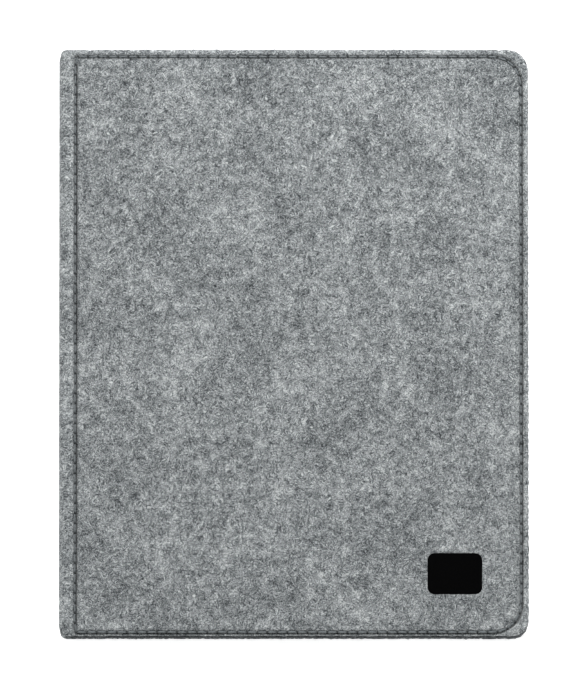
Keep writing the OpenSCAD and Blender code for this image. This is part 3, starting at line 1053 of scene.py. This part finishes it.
def felt_material():
    """Fibres in six directions over clouds, clumps and flecks, with painted shade that darkens them and painted light
    that lightens them.
    """
    g = Graph("felt")
    at = g.attribute("cloth")
    bend = g.node("TexNoise", {"Vector": at, "Scale": 0.16, "Detail": 2.0}).outputs["Color"]
    bend = g.node("VectorMath", {0: bend, 1: (0.5, 0.5, 0.5)}, operation="SUBTRACT").outputs[0]
    curl = {0: bend, 1: (5.0, 5.0, 1.0), 2: at}
    curled = g.node("VectorMath", curl, operation="MULTIPLY_ADD").outputs[0]
    streaks = []
    for k in range(6):
        shift = (17.3 * k, -9.1 * k, 5.7 * k)
        streaks.append(g.streaks(curled, math.radians(11 + 30 * k), 2.6, 0.32, 1.0, 0.5, shift=shift))
    light, dark = streaks[:2]
    for k in (2, 4):
        light = g.math("MAXIMUM", light, streaks[k])
        dark = g.math("MINIMUM", dark, streaks[k + 1])
    fibres = g.math("MULTIPLY_ADD", g.math("SUBTRACT", dark, 0.40), 1.15, g.math("SUBTRACT", light, 0.60))
    cloud = g.noise(at, 0.03, 8.0, 0.72)
    clump = g.noise(at, 0.22, 3.0, 0.6)
    fleck = g.noise(at, 1.3, 2.0, 0.6)
    value = g.math("MULTIPLY", fibres, FIBRE_GAIN)
    for layer, gain in ((cloud, CLOUD_GAIN), (clump, CLUMP_GAIN), (fleck, FLECK_GAIN)):
        value = g.math("MULTIPLY_ADD", g.math("SUBTRACT", layer, 0.5), gain, value)
    level = g.math("ADD", value, 0.5)
    colour = g.ramp(level, [
        (0.0, (0.022, 0.025, 0.028)),
        (0.3, (0.093, 0.102, 0.107)),
        (0.5, (0.196, 0.211, 0.216)),
        (0.7, (0.307, 0.326, 0.331)),
        (1.0, (0.58, 0.60, 0.60)),
    ])
    # Painted shade darkens the felt's colour, and painted light, below 0, lightens it
    shade = g.math("MULTIPLY_ADD", g.attribute("painted_shading", "Fac"), -0.86, 1.0)
    height = g.math("MULTIPLY_ADD", g.noise(at, 7.0, 3.0, 0.6), 0.35, level)
    return g.set(Base_Color=g.scaled(colour, shade), Normal=g.bump(height, 0.00035, 0.55), Roughness=0.95,
                 Specular_IOR_Level=0.15, Sheen_Weight=0.12, Sheen_Roughness=0.5)


def thread_material():
    g = Graph("thread")
    at = g.attribute("cloth")
    strands = g.streaks(at, math.radians(28), 2.2, 0.09)
    tone = g.noise(at, 0.35, 2.0, 0.5)
    level = g.weighted((strands, 0.8), (tone, 0.2))
    colour = g.ramp(level, [
        (0.25, (0.086, 0.097, 0.102)),
        (0.5, (0.152, 0.171, 0.179)),
        (0.75, (0.243, 0.270, 0.281)),
    ])
    # Painted shade darkens the thread where it goes into its hole
    shade = g.math("MULTIPLY_ADD", g.attribute("painted_shading", "Fac"), -0.9, 1.0, clamp=True)
    return g.set(Base_Color=g.scaled(colour, shade), Normal=g.bump(strands, 0.00012, 0.6), Roughness=0.7,
                 Specular_IOR_Level=0.3, Sheen_Weight=0.1)


def suede_material():
    """A short nap, brushed lighter and darker in long strokes."""
    g = Graph("suede_lining")
    at = g.attribute("cloth")
    nap = g.streaks(at, math.radians(78), 2.4, 0.5, 3.0)
    strokes = g.streaks(at, math.radians(64), 34.0, 7.0, 3.0, 0.55, 0.4)
    brushed = g.range(strokes, 0.36, 0.64, 0.32, 0.68, True)
    grain = g.noise(at, 1.6, 4.0, 0.7)
    level = g.weighted((nap, 0.48), (brushed, 0.14), (grain, 0.38))
    colour = g.ramp(level, [
        (0.34, (0.046, 0.048, 0.052)),
        (0.5, (0.095, 0.100, 0.106)),
        (0.66, (0.178, 0.186, 0.194)),
    ])
    return g.set(Base_Color=colour, Normal=g.bump(g.add(nap, grain), 0.00022, 0.6), Roughness=0.92,
                 Specular_IOR_Level=0.15, Sheen_Weight=0.1, Sheen_Roughness=0.4)


def plastic_material(name, tone, roughness, texture):
    """Moulded plastic with a fine pebbled grain, a few rub marks and a little dust in the grain."""
    g = Graph(name)
    at = g.place()
    pebbles = {"Vector": at, "Scale": 1.5, "Smoothness": 0.5}
    cells = g.node("TexVoronoi", pebbles, feature="SMOOTH_F1").outputs["Distance"]
    fine = g.noise(at, 3.2, 3.0, 0.6)
    grain = g.math("MULTIPLY_ADD", fine, 0.6, cells)
    cloud = g.noise(at, 0.06, 4.0, 0.6)
    rubs = g.streaks(at, 0.5, 28.0, 0.6, 3.0)
    rubbed = g.range(rubs, 0.60, 0.72, 0.0, 1.0, True)
    level = g.weighted((cloud, 0.45), (grain, 0.4), (rubbed, 0.10))
    dark, light = tuple(c * 0.65 for c in tone), tuple(c * 1.7 for c in tone)
    colour = g.ramp(level, [(0.35, dark), (0.55, tone), (0.8, light)])
    rough = g.range(fine, 0.3, 0.7, roughness - 0.06, roughness + 0.06)
    rough = g.math("MULTIPLY_ADD", rubbed, -0.10, rough)
    normal = g.bump(grain, texture, 0.5)
    return g.set(Base_Color=colour, Normal=normal, Roughness=rough, Specular_IOR_Level=0.4)


def board_material():
    g = Graph("board")
    layered = g.streaks(g.place(), 0.2, 3.0, 0.5, 4.0)
    colour = g.ramp(layered, [(0.3, (0.22, 0.18, 0.13)), (0.7, (0.36, 0.30, 0.22))])
    return g.set(Base_Color=colour, Normal=g.bump(layered, 0.0002, 0.4), Roughness=0.9)


def magnet_material():
    g = Graph("magnet")
    brushed = g.streaks(g.place(), 0.0, 6.0, 0.15, 2.0, 0.5)
    rough = g.range(brushed, 0.3, 0.7, 0.28, 0.42)
    colour = g.ramp(brushed, [(0.3, (0.55, 0.55, 0.57)), (0.7, (0.68, 0.68, 0.69))])
    return g.set(Base_Color=colour, Roughness=rough, Metallic=1.0)


def adhesive_material():
    g = Graph("adhesive")
    cells = g.noise(g.place(), 2.5, 3.0, 0.6)
    colour = g.ramp(cells, [(0.3, (0.62, 0.62, 0.58)), (0.7, (0.78, 0.78, 0.74))])
    return g.set(Base_Color=colour, Normal=g.bump(cells, 0.0002, 0.3), Roughness=0.6)


def badge_material():
    g = Graph("badge")
    grain = g.noise(g.place(), 2.4, 4.0, 0.65)
    colour = g.ramp(grain, [(0.3, (0.0008, 0.0008, 0.0009)), (0.7, (0.0024, 0.0024, 0.0026))])
    normal = g.bump(grain, 0.00012, 0.5)
    return g.set(Base_Color=colour, Normal=normal, Roughness=0.8, Specular_IOR_Level=0.01)


FELT = felt_material()
THREAD = thread_material()
SUEDE = suede_material()
TRAY = plastic_material("tray_plastic", (0.106, 0.107, 0.109), 0.55, 0.00018)
GROMMET = plastic_material("grommet_plastic", (0.017, 0.017, 0.019), 0.42, 0.00009)
BOARD = board_material()
MAGNET = magnet_material()
ADHESIVE = adhesive_material()
BADGE = badge_material()


def dress(obj, material, slot):
    """Gives a new piece its material and its slot."""
    obj.data.materials.clear()
    obj.data.materials.append(material)
    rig.slot(obj, slot)


def dress_cad(node, material, bevel=0.0):
    """Gives a piece that keeps its CAD shape its material and, if it is seen, small bevels."""
    obj = frame["nodes"][node]
    obj.data.materials.clear()
    obj.data.materials.append(material)
    if bevel:
        weld = obj.modifiers.new("weld", "WELD")
        weld.merge_threshold = 1e-6
        edge = obj.modifiers.new("round", "BEVEL")
        edge.width = bevel * MM
        edge.segments = 3
        edge.limit_method = "ANGLE"
        edge.angle_limit = math.radians(40)
        edge.harden_normals = True


# Every piece: its finish, the body it moves with and the CAD node it stands for

def bend_line(front):
    """From the cover's end of the bend to the spine's end, in metres."""
    ends = ((COVER_LEFT, 0.0), (COVER_LEFT - FOLD_R, FOLD_R))
    return [(x * MM, 0, (CASE_T - z if front else z) * MM) for x, z in ends]


half_width = U_FREE - U_MIN
for front, sheet, loose, node, body in (
    (True, front_felt, front_fringe, "front_felt", "front_cover"),
    (False, back_felt, back_fringe, "back_felt", "back_cover"),
):
    dress(sheet, FELT, "felt")
    dress(loose, FELT, "felt")
    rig.replaces(sheet, node, "spine_felt")
    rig.blend(sheet, body, "spine", *bend_line(front))
    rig.blend(loose, body, "spine", *bend_line(front))
    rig.sheet(sheet, flat=(half_width * MM, (TOP - BOTTOM) * MM), held="folded", with_pieces=[loose],
             rests_on=["front_board", "spine_board", "back_board"])

for obj, body, node, held_on in (
    (front_lining, "front_cover", "front_lining", "front_board"),
    (back_lining, "back_cover", "back_lining", "back_board"),
    (spine_lining, "spine", "spine_lining", "spine_board"),
):
    dress(obj, SUEDE, "suede_lining")
    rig.replaces(obj, node)
    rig.ride(obj, body)
    low, high = box_mm(node)
    size = sorted((high - low)[[1, 2 if obj is spine_lining else 0]])
    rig.sheet(obj, flat=(size[0] * MM, size[1] * MM), held="laid", rests_on=[held_on])

for obj, body, node in (
    (front_stitches, "front_cover", "front_needle_thread"),
    (front_inside_stitches, "front_cover", "front_bobbin_thread"),
    (back_stitches, "back_cover", "back_needle_thread"),
    (back_inside_stitches, "back_cover", "back_bobbin_thread"),
):
    dress(obj, THREAD, "thread")
    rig.replaces(obj, node)
    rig.ride(obj, body)

dress(badge, BADGE, "badge")
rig.replaces(badge, "badge")
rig.ride(badge, "front_cover")

dress_cad("tablet_tray", TRAY, 0.22)
dress_cad("camera_grommet", GROMMET, 0.25)
dress_cad("front_board", BOARD)
dress_cad("back_board", BOARD)
dress_cad("spine_board", BOARD)
dress_cad("tray_adhesive", ADHESIVE)
dress_cad("closure_magnets", MAGNET)
dress_cad("wake_magnet", MAGNET)


# Studio

FLOOR_HALF = 4.0
FLOOR_DROP = 0.0003
CAMERA_TILT = 5
VIEW_H = 297.3
VIEW_MIDDLE = (-0.12, -3.35, CASE_T)


def floor():
    """A white floor that gives off a little light, so that it looks as white as the photo's background."""
    mesh = bpy.data.meshes.new("floor")
    s = FLOOR_HALF
    mesh.from_pydata([(-s, -s, 0), (s, -s, 0), (s, s, 0), (-s, s, 0)], [], [(0, 1, 2, 3)])
    obj = bpy.data.objects.new("floor", mesh)
    obj.location.z = -FLOOR_DROP
    bpy.context.collection.objects.link(obj)
    material = bpy.data.materials.new("floor")
    material.use_nodes = True
    shader = material.node_tree.nodes["Principled BSDF"]
    shader.inputs["Base Color"].default_value = (0.92, 0.92, 0.92, 1)
    shader.inputs["Roughness"].default_value = 0.9
    shader.inputs["Emission Color"].default_value = (1, 1, 1, 1)
    shader.inputs["Emission Strength"].default_value = 0.67
    mesh.materials.append(material)
    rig.stage(obj)


def area_light(name, at, size, watts):
    """A round light, aimed at the middle of the case."""
    data = bpy.data.lights.new(name, "AREA")
    data.shape = "DISK"
    data.size = size
    data.energy = watts
    obj = bpy.data.objects.new(name, data)
    obj.location = at
    obj.rotation_euler = (-Vector(at)).to_track_quat("-Z", "Y").to_euler()
    obj.visible_camera = False
    bpy.context.collection.objects.link(obj)


floor()
area_light("key", (0.34, 0.63, 0.545), 0.255, 6.8)
area_light("low", (0.1, -1.6, 0.3), 0.8, 12)
area_light("fill", (-1.0, 0.6, 1.3), 1.4, 17)

world = bpy.data.worlds.new("studio")
bpy.context.scene.world = world
world.use_nodes = True
background = world.node_tree.nodes["Background"]
background.inputs["Color"].default_value = (1, 1, 1, 1)
background.inputs["Strength"].default_value = 0.36

# The camera stands far off and almost straight above, so a thin strip shows below the front cover.
camera = bpy.data.cameras.new("camera")
camera.sensor_width = 36
camera.lens = 900
camera.clip_end = 50
eye = bpy.data.objects.new("camera", camera)
bpy.context.collection.objects.link(eye)
bpy.context.scene.camera = eye
elevation = math.radians(90 - CAMERA_TILT)
aim = Vector(VIEW_MIDDLE) * MM
distance = camera.lens / camera.sensor_width * VIEW_H * MM
eye.location = aim + distance * Vector((0, -math.cos(elevation), math.sin(elevation)))
eye.rotation_euler = (aim - eye.location).to_track_quat("-Z", "Y").to_euler()

bpy.context.scene.view_settings.view_transform = "Standard"

low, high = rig.bounds()
with open("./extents.json", "w") as f:
    json.dump({"cad": [list(cad_low), list(cad_high)], "visual": [list(low), list(high)]}, f)
